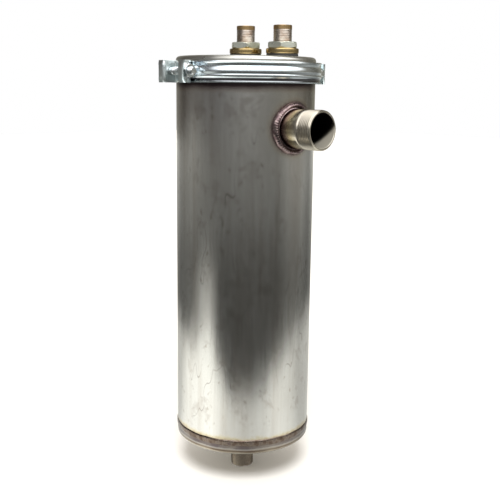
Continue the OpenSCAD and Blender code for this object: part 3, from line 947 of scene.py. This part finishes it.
def gland_body(side):
    """The brass tube: sleeve chamber, outer bell, flange, thread and plain rim."""
    z0, top = round_node("gland_body_" + side)[1:]
    seat_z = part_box("gland_inner_seal_" + side)[0].z
    thread_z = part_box("gland_collar_" + side)[0].z
    bore, r, chamber_r, bell_r = GLAND_BORE_R, GLAND_THREAD_R, SLEEVE_CHAMBER_R, 15 * MM
    edge = 0.5 * MM
    chamber_top, flange_z, rim_z = z0 + 16 * MM, seat_z - 4 * MM, top - 4.6 * MM
    rings = [
        (bore, top - 0.4 * MM), (bore, chamber_top), (chamber_r, chamber_top),
        (chamber_r, z0 + 0.8 * MM), (chamber_r + 0.8 * MM, z0), (bell_r - 0.4 * MM, z0)]
    rings += thread(bell_r, 0.9 * MM, 1.5 * MM, z0, flange_z - 3 * MM, fade1=1.5 * MM)
    rings += [(bell_r, flange_z), (GLAND_FLANGE_R - edge, flange_z),
              (GLAND_FLANGE_R, flange_z + edge), (GLAND_FLANGE_R, seat_z - edge),
              (GLAND_FLANGE_R - edge, seat_z), (r, seat_z)]
    rings += thread(
        r, 0.32 * MM, GLAND_PITCH, thread_z, rim_z, fade0=GLAND_PITCH, fade1=0.4 * MM)
    rings += [(r, rim_z + 0.1 * MM), (r, top - edge), (r - edge, top),
              (bore + 0.4 * MM, top)]
    turned("gland_tube_" + side, rings, 96, "vessel",
           "gland_body_" + side, BRASS, place=gland_place(side), sharp=30)


def glands():
    """Each gland's body, its two seals, its collar and its locknut."""
    r, nut_bore = GLAND_THREAD_R, GLAND_THREAD_R + 0.05 * MM
    for side, nut_turn in zip(SIDES, (22, 10)):
        at = gland_place(side)
        gland_body(side)
        top_seal_r = round_node("gland_top_seal_" + side)[0]
        for name, node, seal_r, soft in (
                ("gland_lower_washer_", "gland_inner_seal_", GLAND_FLANGE_R, 0.7 * MM),
                ("gland_upper_washer_", "gland_top_seal_", top_seal_r, 0.9 * MM)):
            rings = ring_section(r, seal_r, *round_node(node + side)[1:], soft, soft)
            turned(name + side, rings, 96, "vessel", node + side, RUBBER,
                   place=at)

        collar_r, z0, z1 = round_node("gland_collar_" + side)
        rings = rounded([
            (r, z0, 0), (collar_r - 0.6 * MM, z0, 0), (collar_r, z0 + 0.8 * MM, 0.5 * MM),
            (collar_r, z1, 1.4 * MM), (r, z1, 0)], steps=5)
        turned("gland_ring_" + side, rings, 128, "vessel",
               "gland_collar_" + side, COLLAR, place=at)

        low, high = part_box("gland_locknut_" + side)
        rings = [(nut_bore, low.z + 0.5 * MM), (nut_bore + 0.5 * MM, low.z)]
        rings += hex_rings(31 * MM, low.z, high.z)
        rings += [(nut_bore + 0.75 * MM, high.z), (nut_bore, high.z - 0.7 * MM)]
        turned("gland_hex_nut_" + side, rings, 96, "gland_locknut_" + side,
               "gland_locknut_" + side, LOCKNUT,
               place=at @ about_z(math.radians(nut_turn)), sharp=28)


def sleeves():
    """Quartz sleeves with a round end, their seal rings and their nuts."""
    wall, wire = mm(1.5, 1.5)
    quarter = [math.pi / 2 * k / 10 for k in range(11)]
    for side in SIDES:
        at = gland_place(side)
        r, z0, z1 = round_node("quartz_sleeve_" + side)
        inner, dome = r - wall, z0 + r
        rings = [(r, z1 - 0.5 * MM)]
        rings += [(r * math.cos(a), dome - r * math.sin(a)) for a in quarter]
        rings += [(inner * math.sin(a), dome - inner * math.cos(a)) for a in quarter]
        rings += [(inner, z1 - 0.5 * MM), (inner + 0.4 * MM, z1), (r - 0.4 * MM, z1)]
        turned("quartz_tube_" + side, rings, 64, "vessel",
               "quartz_sleeve_" + side, QUARTZ, place=at, sharp=40)

        middle = centre_of("sleeve_oring_" + side).z
        rings = [(r + wire + wire * math.cos(TAU * k / 16),
                  middle + wire * math.sin(TAU * k / 16)) for k in range(16)]
        turned("sleeve_seal_" + side, rings, 64, "vessel",
               "sleeve_oring_" + side, RUBBER, place=at)

        low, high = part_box("sleeve_nut_" + side)
        bore, lip, floor_z = 15.05 * MM, SLEEVE_CHAMBER_R, low.z + 3 * MM
        rings = [(bore, high.z - 0.6 * MM), (bore, floor_z), (lip, floor_z),
                 (lip, low.z + 0.4 * MM), (lip + 0.4 * MM, low.z)]
        rings += hex_rings(36 * MM, low.z, high.z) + [(bore + 0.6 * MM, high.z)]
        turned("sleeve_hex_nut_" + side, rings, 96, "sleeve_nut_" + side,
               "sleeve_nut_" + side, NUT_BRASS, place=at, sharp=28)


def coil_mesh(name, z, place):
    """A small filament coil lying across the lamp, as a swept wire."""
    turns, sides = 7, 6
    radius, length, wire = mm(0.9, 6, 0.18)
    steps = turns * 12
    bm = bmesh.new()
    rings = []
    for i in range(steps + 1):
        angle = TAU * turns * i / steps
        out = Vector((math.cos(angle), 0, math.sin(angle)))
        point = Vector((0, length * (i / steps - 0.5), z)) + out * radius
        rings.append([bm.verts.new(
            point + out * wire * math.cos(TAU * k / sides)
            + Vector((0, wire * math.sin(TAU * k / sides), 0))) for k in range(sides)])
    skin(bm, rings)
    bm.faces.new(rings[0])
    bm.faces.new(rings[-1][::-1])
    return mesh_from(bm, name, place)


def lamp(side):
    """Glass tube with a filament and two leads at each end, end fittings, pins."""
    at, body = gland_place(side), "lamp_" + side
    glass = "lamp_tube_" + side
    r, z0, z1 = round_node(glass)
    wall, filament_in, pin_at = mm(0.8, 22, 3.2)
    rings = ring_section(r - wall, r, z0, z1, 0.6 * MM, 0.6 * MM)
    turned("lamp_glass_" + side, rings, 48, body, glass, LAMP_GLASS, place=at)
    for end, z, z_end in (("foot", z0 + filament_in, z0), ("top", z1 - filament_in, z1)):
        name = f"lamp_filament_{end}_{side}"
        make_piece(name, coil_mesh(name, z, at), body, glass, PIN)
        rod = ring_section(0, 0.4 * MM, min(z, z_end), max(z, z_end))
        for mark, y in (("a", -3 * MM), ("b", 3 * MM)):
            turned(f"lamp_lead_{end}_{mark}_{side}", rod, 12, body, glass,
                   PIN, place=at @ Matrix.Translation((0, y, 0)))
    for end, soft in (("top", 0.7 * MM), ("foot", 2.0 * MM)):
        node = f"lamp_{end}_fitting_{side}"
        rings = ring_section(0, *round_node(node), soft, 0.7 * MM)
        turned(f"lamp_{end}_cap_{side}", rings, 48, body, node, CERAMIC,
               place=at)
    low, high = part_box("lamp_pins_" + side)
    rings = ring_section(0, 1.15 * MM, low.z, high.z, high=0.8 * MM)
    for i, (x, y) in enumerate(((-1, -1), (-1, 1), (1, -1), (1, 1))):
        turned(f"lamp_pin_{i}_{side}", rings, 20, body, "lamp_pins_" + side,
               PIN, place=at @ Matrix.Translation((pin_at * x, pin_at * y, 0)))


for build in (housing_tube, base_cap, base_weld, inlet_nipple, inlet_weld, outlet_nipple,
              outlet_weld, vessel_flange, lid, lid_gasket, clamp_bands, clamp_retainers,
              clamp_lugs, clamp_fasteners, glands, sleeves):
    build()
for lamp_side in SIDES:
    lamp(lamp_side)


# ---- stage, light and camera ----

VIEW_TURN = math.radians(47.6)
RIGHT = Vector((math.cos(VIEW_TURN), math.sin(VIEW_TURN), 0))
AWAY = Vector((-math.sin(VIEW_TURN), math.cos(VIEW_TURN), 0))
UP = Vector((0, 0, 1))


class Studio(Look):
    """Node helpers for the surroundings, which have no Principled shader."""

    def __init__(self, tree, output, source):
        self.start(tree, output, source)

    def turn(self):
        """0 behind the object, 0.5 towards the viewer, rising to the right."""
        x, y, z = self.axes()

        def along(direction):
            return x * direction.x + y * direction.y
        angle = self.math("ARCTAN2", along(RIGHT), along(-AWAY))
        return angle / TAU + 0.5


def flat_piece(name, z, material):
    """A square stage surface at a height."""
    side = 6.0
    mesh = bpy.data.meshes.new(name)
    corners = [(-side, -side, z), (side, -side, z), (side, side, z), (-side, side, z)]
    mesh.from_pydata(corners, [], [(0, 1, 2, 3)])
    mesh.materials.append(material)
    surface = new_object(name, mesh)
    return surface


def floor():
    """The pale floor that the eye sees."""
    look = Look("pale_floor")
    grain = look.noise(3, detail=3)
    look.feed(look.shader.inputs["Base Color"],
              look.blend(grain, (0.9, 0.9, 0.89), (0.93, 0.93, 0.92)))
    look.shader.inputs["Roughness"].default_value = 0.9
    flat_piece("floor", 0.0, look.material).visible_glossy = False


def table():
    """The lit table top that the metal mirrors, and nothing else sees."""
    glow = bpy.data.materials.new("table_glow")
    glow.use_nodes = True
    top = Studio(glow.node_tree, "OutputMaterial", "Object")
    x, y, z = top.axes()
    distance = top.length(x, y) * (top.noise(7, detail=2) * 0.5 + 0.75)
    turn = top.turn()
    # A pool of light round the foot, widest on the left, over a dim table
    pool = top.ramp(
        turn, (0.0, 0.55), (0.15, 0.9), (0.22, 1.7), (0.37, 1.9), (0.44, 1.2), (0.52, 0.95),
        (0.58, 1.05), (0.65, 1.4), (0.72, 1.2), (0.78, 0.8), (0.9, 0.75), (1.0, 0.55))
    edge = top.ramp(
        turn, (0.1, 0.7), (0.17, 0.62), (0.25, 0.6), (0.34, 0.66), (0.4, 0.44),
        (0.47, 0.37), (0.55, 0.39), (0.64, 0.48), (0.76, 0.64), (0.88, 0.76))
    inside = top.ramp(distance / edge / 2.0, (0.38, 1.0), (0.62, 0.0), smooth=True)
    # Beyond it, a beam on the left and lighter ground towards the walls
    beam_turn = top.ramp(turn, (0.24, 0.0), (0.31, 1.0), (0.345, 1.0), (0.385, 0.0))
    beam_reach = top.ramp(distance / 2.0, (0.45, 1.0), (0.72, 0.0))
    ground = top.ramp(distance / 6.0, (0.1, 0.1), (0.22, 0.11), (0.35, 0.17), (1.0, 0.34))
    around = top.ramp(
        turn, (0.05, 2.6), (0.13, 1.5), (0.23, 1.8), (0.33, 1.2), (0.42, 1.0), (0.66, 1.05),
        (0.73, 1.9), (0.8, 2.1), (0.87, 1.3), (0.93, 2.6))
    far = ground * around + beam_turn * beam_reach * 0.62
    foot_shade = top.ramp(distance / 0.2, (0.25, 0.3), (0.5, 1.0))
    level = (pool * inside + far * (1.0 - inside)) * foot_shade
    emit = top.add("Emission")
    top.feed(emit.inputs["Color"], top.mix(1.0, level, (0.99, 1.0, 0.94), "MULTIPLY"))
    top.tree.links.new(emit.outputs[0], top.out.inputs[0])
    card = flat_piece("table_reflection", -0.2 * MM, glow)
    card.visible_camera = False
    card.visible_diffuse = False
    card.visible_shadow = False


def world_light():
    """White to the eye; to metal, a dim room with a broad light high in front."""
    world = bpy.data.worlds.new("studio")
    bpy.context.scene.world = world
    world.use_nodes = True
    room = Studio(world.node_tree, "OutputWorld", "Generated")
    turn = room.turn()
    height = room.math("ARCSINE", room.axes()[2]) / math.pi + 0.5
    wall = room.ramp(
        turn, (0.0, (0.34, 0.33, 0.28)), (0.08, (0.26, 0.25, 0.22)), (0.15, (0.1, 0.09, 0.08)),
        (0.24, (0.17, 0.16, 0.15)), (0.36, (0.18, 0.18, 0.18)), (0.5, (0.3, 0.3, 0.29)),
        (0.62, (0.28, 0.28, 0.26)), (0.72, (0.27, 0.26, 0.22)), (0.8, (0.22, 0.21, 0.18)),
        (0.87, (0.12, 0.11, 0.09)), (0.92, (0.28, 0.27, 0.22)), (1.0, (0.34, 0.33, 0.28)))
    box_side = room.ramp(
        turn, (0.33, 0.0), (0.4, 1.0), (0.72, 1.0), (0.8, 0.0), smooth=True)
    overhead = room.ramp(height, (0.84, 0.0), (0.93, 1.0))
    box_height = room.ramp(height, (0.55, 0.0), (0.62, 1.0), smooth=True)
    box = box_height * room.math("MAXIMUM", box_side, overhead)
    level = room.mix(1.0, wall, box * 2.4, "ADD")
    rays = room.add("LightPath")
    diffuse, seen, through = (Signal(room, rays.outputs[name]) for name in (
        "Is Diffuse Ray", "Is Camera Ray", "Is Transmission Ray"))
    level = room.mix(diffuse, level, (0.8, 0.74, 0.66))
    level = room.mix(room.math("MAXIMUM", seen, through), level, (1.0, 1.0, 1.0))
    background = room.add("Background")
    room.feed(background.inputs[0], level)
    room.tree.links.new(background.outputs[0], room.out.inputs[0])
    world.cycles.sampling_method = "NONE"


def key_light():
    """A broad light from above and the viewer's side, which metal doesn't mirror."""
    data = bpy.data.lights.new("overhead_softbox", "SUN")
    data.energy, data.angle, data.color = 3.0, 0.36, (1.0, 0.99, 0.97)
    light = new_object("overhead_softbox", data)
    light.rotation_mode = "QUATERNION"
    light.rotation_quaternion = (AWAY * 0.85 - UP).to_track_quat("-Z", "Y")
    light.visible_glossy = False


def camera():
    """The viewing position, with its own small yaw and roll."""
    distance, height = 0.947, 0.4493
    yaw, pitch, roll = math.radians(0.41), math.radians(11.16), math.radians(0.66)
    forward = (RIGHT * math.sin(yaw) + AWAY * math.cos(yaw)) * math.cos(pitch) \
        - UP * math.sin(pitch)
    right = RIGHT * math.cos(yaw) - AWAY * math.sin(yaw)
    up = right.cross(forward)
    data = bpy.data.cameras.new("camera")
    data.lens, data.sensor_width = 60.2, 36.0
    data.clip_start, data.clip_end = 0.05, 50.0
    viewer = new_object("camera", data)
    place = Matrix.Identity(4)
    place.col[0].xyz = right * math.cos(roll) + up * math.sin(roll)
    place.col[1].xyz = up * math.cos(roll) - right * math.sin(roll)
    place.col[2].xyz = -forward
    place.col[3].xyz = AWAY * -distance + UP * height
    viewer.matrix_world = place
    bpy.context.scene.camera = viewer


floor()
table()
world_light()
key_light()
camera()
bpy.context.scene.view_settings.view_transform = "Standard"
